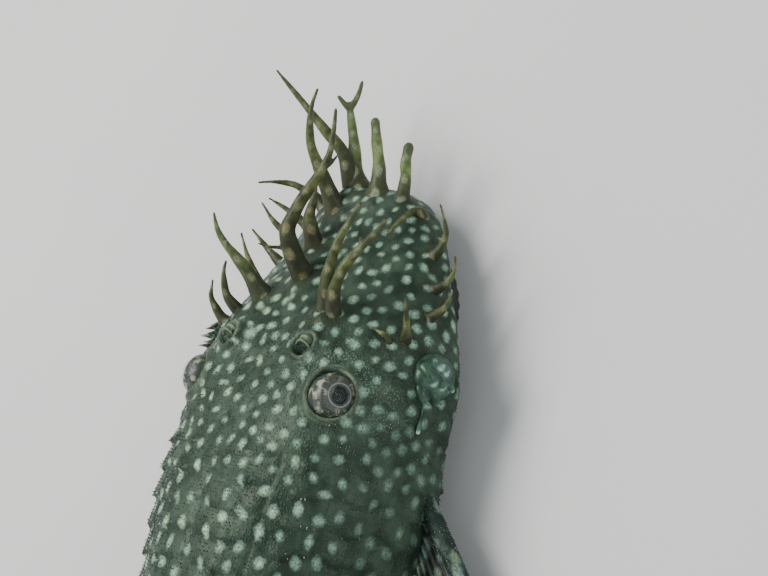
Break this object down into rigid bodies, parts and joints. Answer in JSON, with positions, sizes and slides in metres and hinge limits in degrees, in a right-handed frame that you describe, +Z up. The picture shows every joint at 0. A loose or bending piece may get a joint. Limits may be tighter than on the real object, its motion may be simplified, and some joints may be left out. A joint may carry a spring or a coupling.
{
  "type": "bristlenose pleco",
  "caption": "Still life-size bristlenose pleco, an adult male resting on its belly: flat plated body, forked snout tentacles, cheek spines, sucker mouth and spread spiny fins.",
  "frame": {"origin": "on the floor under the flat of the belly, on the midline, 42 mm behind the snout tip", "axes": "+X towards the snout, +Y towards the fish's left side, +Z up"},
  "size_m": [0.144, 0.0696, 0.0386],
  "materials": {
    "skin": "wet, satin, blackish green with pale round spots",
    "fin": "wet, satin, dark olive with rows of pale spots along the rays",
    "eye": "high gloss, dark pupil in a speckled iris",
    "mouth": "soft satin, pale tan, grained with small papillae",
    "spine": "satin, translucent brown with pale tips"
  },
  "bodies": {
    "root": {"head": "skin", "trunk": "skin", "tail_stalk": "skin", "eye_left": "eye", "eye_right": "eye", "mouth_disc": "mouth", "cheek_spines_left": "spine", "cheek_spines_right": "spine", "dorsal_fin": "fin", "adipose_fin": "fin", "anal_fin": "fin", "caudal_fin": "fin", "pectoral_fin_left": "fin", "pectoral_fin_right": "fin", "pelvic_fin_left": "fin", "pelvic_fin_right": "fin"}
  },
  "joints": []
}
